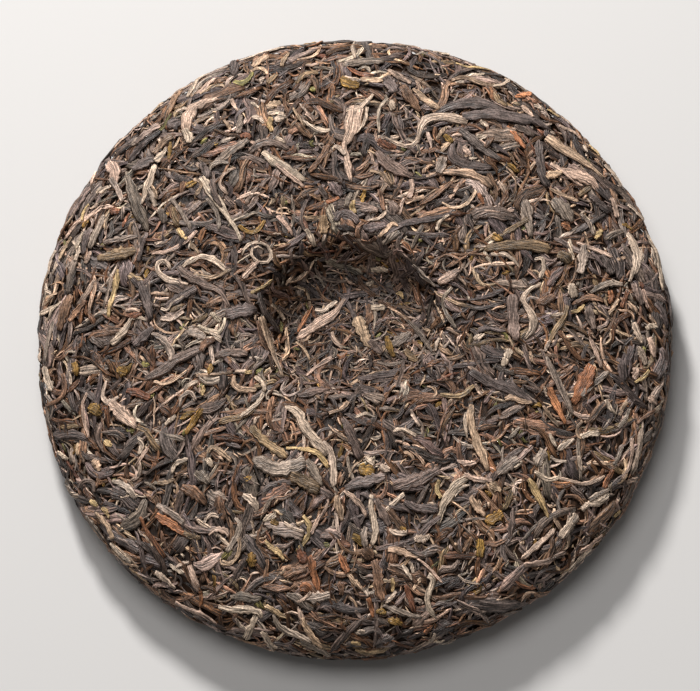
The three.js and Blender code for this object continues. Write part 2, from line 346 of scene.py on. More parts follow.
def walk(length, around, heading, turns, step):
    """Courses over the cake from their tails: each goes a step at a time and turns in between."""
    at = places(length, around)
    forward = at.outward * np.cos(heading)[:, None] + at.circling * np.sin(heading)[:, None]
    stop, forward = stop_at(at, forward)
    stops = [stop]
    for turn in turns.T[..., None]:
        forward = forward * np.cos(turn) + stop["side"] * np.sin(turn)
        at = nearest(at.point + forward * step[:, None], at.length)
        stop, forward = stop_at(at, forward)
        stops.append(stop)
    return joined(stops, 1)


def waves(parts, around):
    return sum(size * np.sin(turns * around + math.radians(start)) for turns, size, start in parts)


def settled(points):
    """Points of the even cake, moved to where they lie on the uneven one."""
    radius = np.hypot(points[..., 0], points[..., 1])
    around = angle_around(points)
    outwards = radius / CAKE_RADIUS
    swell = 1 + waves(OUTLINE_WAVES, around) / CAKE_RADIUS * outwards
    shift = 1 - smoothstep(radius, DIMPLE_MOUTH_RADIUS, SHIFT_REACH)
    raised = smoothstep(points[..., 2], 0, CREST_HEIGHT)
    tilt = 1 - smoothstep(radius, DIMPLE_FLOOR_RADIUS, DIMPLE_MOUTH_RADIUS)
    x = points[..., 0] * swell + DIMPLE_SHIFT[0] * shift
    y = points[..., 1] * swell + (DIMPLE_SHIFT[1] - DIMPLE_SQUASH * points[..., 1]) * shift
    uneven = outwards * waves(THICKNESS_WAVES, around) - DIMPLE_TILT * tilt * points[..., 1]
    z = points[..., 2] + raised * uneven
    z = STAY_ABOVE * np.logaddexp(0, z / STAY_ABOVE)
    return np.stack([x, y, z], -1)


# The height of the heap over the even cake and how many leaves cover it, in rings of small cells
RING_RADII = outline_at(np.arange(0.5, OUTLINE.whole / CELL) * CELL)[0]
RING_COUNTS = np.maximum(1, np.round(TURN * RING_RADII / CELL)).astype(int)
RING_STARTS = np.concatenate([[0], np.cumsum(RING_COUNTS)])
heap = np.zeros(RING_STARTS[-1])
cover = np.zeros(RING_STARTS[-1])


def cells(length, around):
    ring = np.clip((length / CELL).astype(int), 0, len(RING_COUNTS) - 1)
    count = RING_COUNTS[ring]
    slot = ((around % TURN) / TURN * count).astype(int)
    return RING_STARTS[ring] + np.minimum(slot, count - 1)


def blurred(image, mask, spread):
    """An image smoothed over spread pixels, where the mask has it."""
    rows, columns = (np.fft.fftfreq(n)[:, None] for n in image.shape)
    fade = np.exp(-2 * (math.pi * spread) ** 2 * (rows**2 + columns.T**2))
    smooth = np.fft.ifft2(np.fft.fft2(image * mask) * fade).real
    share = np.fft.ifft2(np.fft.fft2(mask) * fade).real
    return smooth / np.maximum(share, 1e-3)


def evened_heap():
    """Gives a function for the heap's smoothed height at a length and an angle around.

    The heap is drawn on two flat charts, one round the middle of the back and one round the
    middle of the front, a millimetre to a pixel. Each pixel is the mean of five looks in it.
    """
    reach = int(HALF_WAY + CHART_OVERLAP)
    axis = np.arange(-reach, reach + 1, dtype=float)
    u, v = np.meshgrid(axis, axis, indexing="ij")
    distance = np.hypot(u, v)
    mask = (distance < reach).astype(float)
    charts = []
    for start, sign in ((0, 1), (OUTLINE.whole, -1)):
        total = 0
        for du, dv in LOOKS:
            off = np.hypot(u + du, v + dv) - distance
            length = start + sign * distance + sign * off
            total = total + heap[cells(np.clip(length, 0, OUTLINE.whole), np.arctan2(v + dv, u + du))]
        charts.append(blurred(total / len(LOOKS), mask, EVENING_REACH))

    def height(length, around):
        back = length < HALF_WAY
        distance = np.where(back, length, OUTLINE.whole - length)
        iu = distance * np.cos(around) + reach
        iv = distance * np.sin(around) + reach
        fu, fv = np.floor(iu).astype(int), np.floor(iv).astype(int)
        found = 0
        for dv, along in enumerate((1 - (iv - fv), iv - fv)):
            for du, across in enumerate((1 - (iu - fu), iu - fu)):
                at = (fu + du, fv + dv)
                found = found + across * along * np.where(back, charts[0][at], charts[1][at])
        return found

    return height


def make_kind(name, count, length_range, width_range, flatness, stations, sides, colours, **more):
    """A kind of leaf, with sizes in millimetres and angles in radians.

    flatness is its thickness over its width. bend, swing and hooked say how its course turns,
    along_rim how often it lies along the rim, and roll how it is tipped and twisted. drift slants
    its grain. late is how far into the laying its first comes. Its colours are either named leaf
    by leaf in hues, or drawn by the weights in colours. look is what its material has that isn't
    usual.
    """
    traits = dict(
        bend=0.6, swing=0.45, drift=2.0, ridges=0.42, hooked=0.07, choices=4, along_rim=1.0, roll=0.24,
        pressed=PRESSED, over=0.0, contrast=0.42, lean=1.2, late=0.0,
        hues=None, brightness=(-0.14, 0.22), tint=0.025, look={},
    )
    traits.update(more)
    return SimpleNamespace(
        name=name, count=count, length_range=length_range, width_range=width_range,
        flatness=flatness, stations=stations, sides=sides, colours=colours, **traits,
    )


KINDS = [
    make_kind(
        "dark_leaves", 1780, (7, 20), (1.1, 3.0), 0.27, 8, 7, dict(slate=5, ink=3, umber=3, mauve=2),
    ),
    make_kind(
        "brown_leaves", 1780, (6, 19), (1.0, 2.8), 0.27, 8, 7, dict(brown=5, mauve=4, umber=3, olive=1),
    ),
    make_kind(
        "broad_leaves", 480, (8, 18), (2.8, 5.4), 0.16, 8, 8, dict(slate=4, mauve=3, brown=2, grey=1),
        drift=0.8, bend=0.35, roll=0.12,
    ),
    make_kind(
        "stems", 200, (9, 22), (0.8, 1.3), 0.7, 7, 6, dict(orange=1, brown=5, umber=4), bend=0.4, late=0.2,
    ),
    make_kind("flakes", 230, (2, 6), (1.2, 2.3), 0.22, 5, 6, dict(ochre=4, green=3, orange=1), late=0.5),
    make_kind(
        "curled_strips", 900, (5, 15), (0.7, 1.6), 0.36, 9, 6, dict(slate=4, brown=3, mauve=3, umber=3),
        bend=1.3, hooked=0.3, lean=1.5, late=0.25,
    ),
    make_kind(
        "pale_strips", 1800, (4, 18), (0.6, 2.0), 0.33, 9, 6, dict(rose=2, cream=1, tan=5, grey=6, brown=4),
        bend=1.1, hooked=0.3, along_rim=1.6, lean=1.6, late=0.25,
    ),
    make_kind(
        "crumbs", 2800, (1.2, 5), (0.4, 1.3), 0.45, 4, 5, dict(umber=4, tan=3, grey=3, slate=4, rose=1),
        late=1.0,
    ),
]


def drawn_between(bounds, count, lean):
    """Random sizes within bounds, more of them small the more the lean is over 1."""
    low, high = bounds
    return low + (high - low) * rng.random(count) ** lean


def spread_lengths(count):
    """Lengths along the outline at which leaves start.

    There are more on the back and over the rim, more still on the dimple's floor, and fewer in
    the middle of the front.
    """
    weight = OUTLINE.r * np.where(OUTLINE.length < HALF_WAY + PAST_RIM, BACK_CROWD, 1.0)
    weight = weight * np.where(OUTLINE.length < DIMPLE_FLOOR_RADIUS, FLOOR_CROWD, 1.0)
    weight = weight * np.where(OUTLINE.length > OUTLINE.whole - FRONT_MIDDLE, FRONT_CROWD, 1.0)
    total = np.cumsum(weight)
    return np.interp(rng.random(count) * total[-1], total, OUTLINE.length)


def lay_out(kind):
    """Gives a kind its leaves' sizes and the courses that each may take."""
    kind.long = drawn_between(kind.length_range, kind.count, LENGTH_LEAN)
    kind.wide = drawn_between(kind.width_range, kind.count, kind.lean)
    steps = kind.stations - 1
    tries = kind.count * kind.choices
    length = spread_lengths(tries)
    near_rim = np.exp(-(((length - HALF_WAY) / RIM_BAND) ** 2)) * RIM_SHARE * kind.along_rim
    along_it = rng.normal(0, RIM_LOOSENESS, tries)
    along_it = along_it + np.where(rng.random(tries) < 0.5, 0.25, -0.25) * TURN
    heading = np.where(rng.random(tries) < near_rim, along_it, rng.random(tries) * TURN)
    bend = rng.normal(0, kind.bend, tries)
    bend = np.where(rng.random(tries) < kind.hooked, np.sign(bend) * drawn(HOOKED_BEND, 1, tries), bend)
    swing = rng.normal(0, kind.swing, tries)
    share = (np.arange(steps) + 0.5) / steps
    lean = rng.random((tries, 1)) * 2 - 1
    even_turn = bend[:, None] / steps * (1 + lean * (2 * share - 1))
    turns = even_turn + swing[:, None] * np.cos(TURN * share + lean * 2) * SWING_SIZE / steps
    turns = turns + rng.normal(0, UNEVEN_TURNS, turns.shape)
    step = np.repeat(kind.long / steps, kind.choices)
    heading = heading - turns[:, : steps // 2].sum(1)
    kind.courses = walk(length, rng.random(tries) * TURN, heading, turns, step)


def tapered(kind, blunt=1.0):
    """How wide leaves are along them: some ends are drawn out to a point and some broken off."""
    share = np.linspace(0, 1, kind.stations)[None]
    reach = drawn(*POINT_REACH, (kind.count, 2)) * blunt
    power = drawn(*POINT_POWER, (kind.count, 2)) * blunt
    tail = np.minimum(1, (share + END_WIDTH) / reach[:, :1]) ** power[:, :1]
    tip = np.minimum(1, (1 + END_WIDTH - share) / reach[:, 1:]) ** power[:, 1:]
    return tail * tip


def blend_matrix(stations):
    """Weights that turn values at the stations into ones at finer places."""
    fine = np.linspace(0, stations - 1, FINER * (stations - 1) + 1)
    low = np.minimum(fine.astype(int), stations - 2)
    weights = np.zeros((len(fine), stations))
    weights[np.arange(len(fine)), low] = 1 - (fine - low)
    weights[np.arange(len(fine)), low + 1] = fine - low
    return weights


def picked(courses, which):
    """One course of many, or some of them."""
    return SimpleNamespace(**{name: rows[which] for name, rows in vars(courses).items()})


def make_ready(kind, blunt=1.0):
    """Gives a kind its leaves' tapers and room for what laying them finds."""
    kind.taper = tapered(kind, blunt)
    kind.matrix = blend_matrix(kind.stations)
    kind.lift = np.zeros((kind.count, kind.stations))
    kind.traces = [None] * kind.count


def lay_down(kind, i, course):
    """Lays one leaf on the heap, and keeps its height over the even cake and the cells it covers."""
    matrix = kind.matrix
    point = matrix @ course.point
    side = matrix @ course.side
    taper = matrix @ kind.taper[i]
    off = (kind.wide[i] / 2 * taper)[:, None] * ACROSS
    around = angle_around(point[:, None] + off[..., None] * side[:, None])
    length = (matrix @ course.length)[:, None] + off * (matrix @ course.side_out)[:, None]
    where = cells(np.clip(length, 0, OUTLINE.whole), around)
    below = heap[where]
    below = RESTS_ON_HIGHEST * below.max(1) + (1 - RESTS_ON_HIGHEST) * below.mean(1)
    below = smoothed(smoothed(below, SOFTEN)[::FINER], SOFTEN_AGAIN)
    lift = kind.pressed * below + kind.over
    thick = kind.wide[i] * kind.flatness * taper
    top = (matrix @ lift + thick)[:, None] - thick[:, None] * EDGE_DROP * ACROSS**2
    heap[where] = np.maximum(heap[where], top)
    cover[where] += 1
    kind.lift[i] = lift
    kind.traces[i] = (where.ravel(), top.ravel())


def lay_all():
    """Lays the leaves of every kind in a mixed order.

    Each takes the barest of its courses, but every second crumb takes the lowest.
    """
    order = []
    for kind in KINDS:
        lay_out(kind)
        make_ready(kind)
        kind.line_cells = cells(kind.courses.length, angle_around(kind.courses.point))
        kind.picks = np.zeros(kind.count, int)
        order += [(kind.late + rng.random() * (1 - kind.late * 0.5), kind, i) for i in range(kind.count)]
    order.sort(key=lambda row: row[0])
    for _, kind, i in order:
        first = i * kind.choices
        lines = kind.line_cells[first : first + kind.choices]
        measure = heap if kind.name == "crumbs" and i % 2 else cover
        kind.picks[i] = first + int(np.argmin(measure[lines].mean(1)))
        course = picked(kind.courses, kind.picks[i])
        if course.length.mean() < FLOOR_LIMIT:
            kind.wide[i] *= FLOOR_LEAVES
        lay_down(kind, i, course)


def photo_point(px, py, height):
    """Where the camera's rays through pixels of the photograph pass the given heights."""
    right = (px - PHOTO_SIZE[0] / 2) * VIEW_WIDTH / PHOTO_SIZE[0]
    up = (PHOTO_SIZE[1] / 2 - py) * VIEW_WIDTH / PHOTO_SIZE[0]
    sin, cos = math.sin(CAMERA_LEAN), math.cos(CAMERA_LEAN)
    ray_y = up * cos + CAMERA_DISTANCE * sin
    ray_z = up * sin - CAMERA_DISTANCE * cos
    reach = (height - CAMERA_TARGET[2] - CAMERA_DISTANCE * cos) / ray_z
    x = CAMERA_TARGET[0] + right * reach
    y = CAMERA_TARGET[1] - CAMERA_DISTANCE * sin + ray_y * reach
    return x, y


def on_the_back(path):
    """A course over the back through pixels of the photograph, ready to be settled.

    It is found step by step, each step taking off most of what the last one missed by.
    """
    steps, correction, outermost = 15, 0.8, 99.3
    x, y = photo_point(path[:, 0], path[:, 1], CREST_HEIGHT)
    rising = OUTLINE.length <= HALF_WAY
    for _ in range(steps):
        radius = np.minimum(np.hypot(x, y), outermost)
        length = np.interp(radius, OUTLINE.r[rising], OUTLINE.length[rising])
        at = places(length, np.arctan2(y, x))
        lies = settled(at.point)
        wanted_x, wanted_y = photo_point(path[:, 0], path[:, 1], lies[:, 2])
        x = x + correction * (wanted_x - lies[:, 0])
        y = y + correction * (wanted_y - lies[:, 1])
    return at


# The leaves that show most in the photograph, a line for each: its colour, its width, and the pixels
# that it runs through. Where the width changes much, each of those has its own and the first is left
# out.
SEEN = """
cream 236,59,3 248,51,4 262,51,4 273,46,8 283,42,4
grey 7 133,147 147,136 161,128
grey 215,163,4 227,155,9 238,148,9 249,140,4
mauve 250,153,6 258,146,8 269,143,8 280,145,8 288,150,4
rose 4 277,216 286,225 293,236
mauve 307,200,3 302,212,4 301,223,4 306,232,3
cream 306,230,4 311,238,6 314,245,4
grey 7 343,67 364,63 384,63
orange 4 347,69 360,75 374,77
tan 5 360,80 379,81 392,73
grey 3 388,99 379,111 379,133
brown 5 419,205 436,195 453,182
brown 5 309,173 320,160 329,145
tan 546,138,7 560,149,11 575,158,9 590,168,6 602,180,4
slate 8 538,141 541,171 547,187
mauve 9 567,168 580,174 592,182
olive 4 578,196 585,191 590,188
tan 4 549,189 565,197 578,202
grey 11 553,199 562,210 572,222
grey 524,201,6 526,213,12 528,224,9 531,237,4
olive 484,250,5 500,247,10 523,246,12 540,248,12 549,252,8
cream 491,255,4 503,255,5 513,260,4 520,269,2
cream 534,260,2 541,259,4 543,263,4 543,270,5 540,279,3
rose 4 576,243 594,250 612,258
cream 626,234,4 632,245,9 636,257,10 634,269,8 629,282,3
cream 4 569,240 570,250 572,261
cream 8 571,284 572,291 575,298
rose 5 610,199 614,208 617,219
rust 507,127,3 516,138,6 525,149,3
ochre 7 492,236 497,238 502,242
cream 6 603,166 612,177 620,189
cream 5 626,206 633,213 641,222
cream 5 645,236 655,259 661,291
straw 118,270,2 117,282,6 114,295,5 110,308,4 109,318,3
cream 182,268,4 191,261,6 203,257,6 216,262,7 226,271,4
tan 4 193,275 213,278 231,270
cream 171,270,3 166,262,5 159,263,5 157,270,6 165,279,6 177,283,6 188,285,3
rose 4 152,254 168,252 185,243 197,231
cream 112,345,6 119,338,9 126,329,7 132,318,3
cream 161,319,4 171,320,5 178,316,4 184,312,3
grey 8 188,331 197,334 206,339
cream 198,326,3 208,331,6 218,333,5 223,327,4 225,318,3
cream 210,332,3 217,337,6 222,343,3
mauve 145,379,5 163,370,11 181,358,12 203,349,8
grey 7 78,256 72,275 69,294
cream 50,275,3 53,264,8 59,252,7
grey 5 55,321 50,342 47,363
cream 6 46,366 49,379 54,391
cream 541,284,3 530,290,4 523,300,6 529,310,8 533,320,9 532,331,8 525,339,3
mauve 10 513,295 513,318 515,341
grey 6 546,357 559,386 573,415
rust 549,388,6 553,398,8 559,411,7 565,424,3
cream 544,387,2 545,392,3 547,397,2
tan 4 543,406 550,417 559,427
rust 592,366,7 586,377,13 581,389,12 573,404,5
grey 5 608,372 594,384 580,396
rose 4 589,337 595,352 601,368
cream 4 557,450 565,445 574,439
cream 5 579,438 589,434 599,434
tan 472,405,4 470,420,9 474,436,9 481,453,10 488,471,5
cream 466,413,2 465,425,4 467,439,2
cream 633,323,4 636,332,8 641,344,3
cream 637,347,3 641,355,8 645,365,5
cream 642,421,2 639,436,5 637,450,6 634,463,6 630,474,3
olive 4 440,395 460,396 474,386
cream 6 502,367 506,359 511,350
rose 4 468,367 480,375 491,382
cream 605,400,5 609,408,5 616,415,2
cream 107,381,2 104,390,4 104,398,5 109,403,6 119,397,3
rose 111,403,6 119,411,13 127,418,12 137,428,4
cream 4 165,425 170,421 176,416
cream 4 138,437 142,445 139,455
cream 4 172,474 176,464 188,459
tan 4 207,454 214,448 232,462
ochre 6 203,409 194,421 186,435
rust 141,517,3 147,531,4 155,542,5 166,557,4
rust 157,515,6 167,521,8 178,529,6 188,536,3
olive 184,533,4 192,537,5 201,538,3
cream 4 170,564 178,569 185,573
cream 4 112,542 122,552 133,561
grey 85,517,4 92,528,8 105,539,4
cream 243,495,3 251,500,7 256,507,7 257,513,2
olive 5 260,399 249,413 219,423
cream 9 285,407 297,413 311,437 327,455
cream 6 323,442 331,454 334,472 333,487
straw 286,448,2 300,449,3 314,452,5 323,459,5 328,468,3
olive 6 250,427 268,444 287,457
grey 10 253,459 278,469 305,462
olive 9 291,474 305,483 319,492
tan 337,496,4 338,505,8 341,514,7 342,521,3
straw 303,516,3 309,525,5 308,536,5 296,552,2
straw 265,541,3 272,548,5 279,553,5 284,560,3
cream 4 264,388 259,402 240,418
cream 372,495,4 371,507,6 374,520,7 375,533,7 372,545,4
brown 8 378,501 392,518 406,533
ochre 8 359,468 367,471 374,476
cream 5 366,457 370,461 374,465
rust 309,556,5 313,568,7 316,580,7 319,592,4
cream 3 355,418 365,414 376,418
cream 3 393,432 402,430 417,436
slate 345,489,5 358,484,10 372,480,10 385,477,5
mauve 393,487,6 406,484,10 421,479,10 440,470,6
mauve 8 342,417 352,438 361,459
cream 470,475,4 458,484,7 449,496,8 442,509,7 438,525,3
rose 464,475,4 476,479,5 492,481,3
tan 470,497,5 476,506,8 485,516,4
ochre 7 485,522 494,518 502,513
mauve 513,508,2 512,520,6 510,530,6 508,539,2
straw 528,479,4 534,489,8 541,503,7 548,518,2
grey 8 545,451 540,458 535,466
cream 4 534,472 548,480 560,477
rose 559,478,3 570,481,3 582,484,4 595,481,4 604,476,2
rust 603,488,4 607,480,7 612,470,4
rose 5 521,559 542,541 554,529
cream 7 559,538 568,526 576,514
cream 581,510,5 586,505,6 590,502,3
cream 589,504,5 597,502,9 603,498,7 608,493,3
rose 5 523,565 542,562 565,551
cream 6 571,575 586,561 601,552
rose 5 578,552 590,543 601,534
ochre 7 480,539 480,548 479,557
cream 428,575,5 433,581,6 427,598,6 430,611,6 436,618,2
rose 417,558,2 430,569,3 442,583,2
cream 6 257,615 250,629 244,642
cream 219,606,4 230,609,6 244,609,8 258,611,6 262,617,3
cream 5 262,630 270,640 277,651
rose 5 298,606 307,630 323,646
tan 344,569,2 353,580,5 362,589,3
cream 363,588,4 369,595,4
rust 368,598,4 371,607,5 373,617,3
orange 5 405,585 410,598 414,612
cream 315,310,4 323,311,5 330,306,5 337,301,3
rose 297,339,3 308,331,9 322,322,12 335,313,7 344,299,3
rust 312,306,2 307,316,4 302,324,4 298,332,2
cream 6 371,308 378,308 385,308
cream 371,270,5 380,269,8 389,270,4
tan 359,267,4 363,268,6 369,269,3
tan 357,317,9 361,327,13 366,339,11 371,348,4
tan 259,317,8 266,340,9 274,360,7 282,378,3
rose 304,378,3 315,368,4 328,360,5 341,355,4 355,351,3
cream 4 435,352 440,345 443,339
straw 3 251,294 262,287 271,279
grey 452,288,3 446,297,4 446,308,4 451,319,5 456,329,3
cream 3 242,256 246,247 256,243 267,246 272,255 269,262 261,263 253,259 251,251 257,247 264,250
rose 5 259,262 251,270 243,279
rose 3 236,168 224,175 220,185 228,195
grey 4 209,173 212,166 220,163 229,164
grey 4 171,199 178,208 184,217 191,230
grey 7 160,209 163,217 165,224
grey 4 206,199 213,207 218,217 219,230
slate 12 226,316 240,312 256,309
mauve 8 214,357 230,353 248,354
cream 4 235,372 243,372 252,373
tan 3 196,376 214,375 233,373
tan 5 234,376 234,384 241,390 257,390
cream 4 255,377 262,383 265,392
grey 6 151,333 163,340 171,352 171,362
cream 4 184,391 190,385 198,382
cream 5 211,313 215,318 221,322
cream 269,304,4 277,311,5 284,320,4
slate 436,114,3 452,107,9 478,105,12 500,112,8 512,118,3
slate 462,117,8 490,116,13 515,119,13 535,123,9 548,131,3
slate 460,130,5 472,140,9 484,150,9 500,161,4
slate 454,142,5 452,157,9 468,166,10 491,168,5
tan 426,177,3 448,173,6 466,174,9 482,180,9 492,188,4
mauve 377,152,6 386,163,13 399,171,12 413,177,4
brown 402,87,7 410,99,11 420,112,4
tan 413,89,3 426,101,7 439,110,4
slate 386,79,8 391,86,13 394,94,8
tan 451,82,3 463,79,5 478,84,6 500,89,3
ochre 341,79,5 349,85,12 359,87,6
cream 345,77,2 351,81,4 361,81,2
rose 388,71,3 398,77,6 411,84,4
cream 357,41,2 353,50,4 355,60,3
cream 303,121,2 311,127,4 320,131,6 330,131,3
cream 263,152,5 272,160,9 284,168,10 297,177,9 306,181,3
orange 378,141,5 386,146,7 396,149,4
tan 370,171,3 382,175,5 392,186,4
cream 367,221,2 378,219,4 385,213,4 386,206,2
tan 442,203,2 452,208,3 464,206,4 471,199,4 476,191,3
slate 384,236,4 405,224,8 428,220,8 452,214,4
grey 443,158,8 441,166,11 438,174,7
tan 436,141,3 442,132,4 447,127,2
tan 441,153,3 445,147,6 450,143,4
ochre 444,136,4 449,140,6 452,144,3
cream 392,101,4 392,107,7 393,111,4
rose 357,108,15 353,124,17 349,137,11 344,146,6 346,156,5 348,168,7 351,183,2
cream 367,108,3 365,122,4 356,134,3
cream 373,95,2 366,104,5 358,110,6 346,112,3
cream 334,147,4 340,149,5 345,156,4
cream 467,124,5 455,120,9 441,118,8 427,121,8 420,130,7 418,141,5 409,147,4 396,144,4 385,138,2
mauve 137,146,4 147,136,9 160,126,6
slate 130,163,4 138,152,9 150,141,8 162,131,4
slate 133,171,5 143,165,12 155,158,7
tan 154,154,4 162,145,7 173,137,6
cream 156,163,6 161,157,7 167,149,3
ochre 169,160,2 170,152,4 171,143,2
green 161,132,3 167,124,4 172,115,2
slate 168,128,6 175,125,13 182,123,8
rose 221,99,3 207,103,8 194,111,13 188,122,12 187,132,9
cream 185,131,6 189,138,10 190,144,5
tan 194,127,3 200,121,4 210,117,2
rose 110,165,8 115,172,14 117,184,4
cream 97,194,3 103,191,7 112,187,2
orange 111,211,5 115,212,8 120,212,4
orange 123,228,2 126,220,3 130,214,2
olive 98,259,5 110,257,12 124,254,12 136,251,5
grey 104,243,4 120,240,6 138,237,4
slate 139,262,3 142,248,5 147,233,4
olive 174,208,3 175,218,6 178,227,4
cream 74,242,3 79,250,5 77,262,4
cream 84,233,2 80,243,4 77,250,3
rose 90,206,3 84,218,5 75,228,5 66,240,3
rose 114,148,3 121,141,5 130,136,2
rose 129,134,3 135,130,5 142,126,2
tan 152,114,3 157,107,5 162,101,2
grey 127,172,3 131,187,9 138,207,13 143,220,11 148,232,3
cream 156,166,4 151,178,8 146,193,6 142,205,2
cream 202,178,9 210,191,10 221,206,8 229,219,5 236,229,4 241,242,3
rose 560,171,5 575,176,11 588,182,11 598,191,4
mauve 472,217,9 486,213,14 501,215,14 515,219,6
rose 484,212,2 500,212,3 514,211,2
olive 500,237,3 512,229,6 528,220,5
grey 583,246,5 583,258,9 580,274,7
olive 557,255,7 564,258,12 569,264,6
brown 536,303,6 545,302,9 554,296,5
grey 590,293,3 601,287,7 612,284,7 622,285,4
brown 575,303,3 590,298,6 603,301,4
rust 609,291,4 611,297,7 609,304,3
straw 571,312,2 578,311,4 584,305,2
cream 546,314,2 555,315,4 563,314,2
olive 567,306,4 564,318,5 555,331,5 549,343,3
cream 550,341,2 547,346,4 545,352,2
mauve 588,307,6 590,318,10 594,330,5
cream 645,329,4 650,327,6 656,327,3
cream 474,340,4 480,337,5 485,335,2
grey 577,427,2 578,440,3 578,455,4 580,480,3
cream 549,434,2 552,440,4 556,447,2
tan 489,486,4 494,487,8 501,491,3
brown 484,543,3 496,544,5 507,539,2
cream 458,575,2 465,581,3 480,584,2
slate 404,502,3 418,508,7 438,509,6
ochre 400,527,2 404,531,5 407,535,2
cream 411,410,2 414,418,4 420,427,3
tan 427,387,2 434,389,3 436,394,3 432,399,2
rose 457,461,2 466,464,5 476,463,3
slate 470,372,6 490,383,11 512,390,11 533,404,5
rose 475,385,3 479,391,5 482,397,2
tan 505,400,3 512,398,6 522,402,5 532,403,2
orange 528,417,3 535,416,6 541,415,3
grey 497,474,4 508,466,9 518,459,6
grey 508,439,2 514,434,4 519,427,2
cream 40,316,4 47,312,6 55,307,3
cream 47,290,2 51,294,4 55,299,3
tan 46,306,2 52,299,4 58,293,2
cream 40,349,4 39,356,6 40,362,3
brown 72,296,7 66,312,11 60,331,6
rose 95,281,3 88,293,6 79,306,5
grey 112,279,3 108,294,4 104,309,2
mauve 178,267,5 189,277,9 204,285,9 220,292,5 230,308,3
slate 140,282,5 145,297,9 149,310,9 151,320,4
slate 165,308,5 178,300,11 196,288,8
cream 161,309,3 168,310,3 173,303,2 184,297,2
cream 133,319,3 140,318,4 147,321,2
rose 126,311,3 133,310,4 140,312,3
orange 127,316,4 135,316,6 142,315,3
slate 153,328,5 144,337,10 134,346,6
tan 154,382,3 165,384,4 176,379,4 187,371,2
olive 192,322,2 200,320,5 208,315,4
brown 201,352,6 206,344,9 215,340,5
ochre 75,363,5 77,370,8 77,376,3
ochre 118,369,5 123,372,10 127,374,5
ochre 211,364,3 210,370,6 209,375,2
ochre 90,406,6 96,410,11 102,415,4
straw 203,386,3 203,391,5 202,396,2
orange 127,391,4 137,393,8 150,399,5
rose 88,393,2 84,402,3 84,411,4 86,424,4 90,438,3
brown 64,374,4 66,388,6 62,398,5 52,404,4 43,407,3
cream 70,372,3 71,379,4 72,385,2
grey 44,408,4 46,418,6 48,430,4
grey 180,408,2 182,397,4 191,393,4 196,401,3
rose 148,448,3 142,457,4 136,467,3
cream 206,459,3 210,463,6 213,467,2
tan 158,483,3 166,483,4 174,480,3
grey 195,473,4 202,477,9 210,483,4
brown 182,487,5 192,492,10 201,499,8 207,504,3
cream 204,523,2 208,517,4 214,515,4 219,518,2
grey 235,518,2 240,525,5 238,534,6 233,542,6 227,552,4
rose 209,535,3 216,530,4 225,531,5 229,536,3
cream 156,572,5 161,575,7 168,580,4 176,588,3
rose 190,565,4 193,575,6 196,583,7 199,591,3
rust 201,591,3 202,598,4 201,606,3
tan 97,512,4 103,519,6 110,527,6 114,538,5
tan 112,549,3 117,558,4 128,562,4 140,566,2
olive 130,567,3 139,572,4 150,582,3
grey 113,481,3 122,484,6 131,491,7 136,499,4
straw 92,500,4 96,503,6 99,506,2
straw 103,508,4 107,511,6 110,518,2
mauve 80,487,3 86,481,5 94,483,5 95,492,4
tan 94,460,4 98,465,8 101,471,3
straw 105,441,3 109,444,6 113,446,2
ochre 250,553,5 252,560,9 252,567,4
tan 222,562,4 230,564,4 237,557,4 240,548,4 239,538,3
grey 232,597,4 243,596,9 254,599,8 262,598,3
cream 236,617,2 241,624,4 248,628,3
rose 177,600,4 187,606,5 202,612,5 218,622,3
grey 157,505,4 166,510,6 176,517,6 184,524,4
cream 177,567,2 182,564,4 189,562,3
cream 60,452,4 65,455,5 70,459,3
grey 307,460,4 313,470,9 319,480,6 322,486,2
rose 344,491,2 353,498,5 361,506,5 366,517,3
cream 384,527,2 395,533,5 407,533,4
cream 384,513,3 393,504,4 404,494,3
mauve 376,549,3 390,546,4 405,543,5 417,538,6 428,526,5 440,517,3
rose 320,515,2 316,524,4 311,534,3
grey 265,523,4 277,528,9 290,531,12 303,537,8
cream 284,523,3 293,528,3 304,532,2
orange 299,549,4 302,557,9 306,562,5
brown 284,577,4 293,572,8 306,567,6
grey 304,598,4 316,598,9 330,595,6
grey 287,594,4 298,599,8 306,606,6 314,609,3
brown 374,560,6 378,575,11 380,590,11 383,600,5
brown 388,566,6 398,571,9 409,577,7 417,583,3
rose 390,565,2 400,567,3 408,573,2
straw 392,578,3 393,585,4 392,592,2
cream 385,603,2 391,598,4 396,591,3
tan 388,549,4 400,551,6 412,555,5 425,556,2
grey 383,605,3 396,610,6 408,614,5 421,617,3
ochre 388,620,3 395,621,8 402,624,3
cream 356,633,3 360,631,5 365,631,3
straw 351,641,2 356,642,4 361,643,2
rust 424,632,4 428,629,5 432,625,2
cream 426,642,2 431,638,4 435,632,3
cream 433,639,3 439,639,5 444,638,2
grey 274,614,3 277,622,5 285,629,7 297,634,6 312,640,4
cream 380,466,4 385,469,6 390,470,3
cream 409,562,3 412,567,4 413,573,3
cream 414,540,3 420,538,6 425,543,3
ochre 271,521,3 275,523,5 279,524,2
cream 263,521,2 269,518,5 276,515,4
cream 366,284,3 370,284,5 373,281,2
grey 415,263,3 424,272,7 431,280,5 437,286,3
rose 440,283,6 448,278,11 459,271,6
grey 405,318,3 417,330,5 427,342,6 434,353,3
tan 388,307,2 398,313,3 408,320,2
tan 296,342,2 304,349,3 310,360,2
rose 332,332,3 335,341,5 343,349,3
tan 350,385,3 361,379,4 374,374,5 389,371,3
mauve 298,396,4 309,395,9 328,392,4
tan 329,414,3 340,410,4 348,403,5
grey 377,362,3 390,365,4 404,361,3
tan 378,355,3 382,350,5 385,346,3
ochre 239,226,3 247,232,5 257,231,5 265,221,3
cream 266,240,3 273,236,4 281,235,3
cream 437,231,3 439,224,4 443,219,4 449,216,2
cream 188,99,3 196,86,6 203,77,5 209,71,2
rose 170,101,4 181,92,5 192,83,3
orange 227,64,4 232,60,6 237,56,3
slate 234,62,5 235,70,9 234,77,4
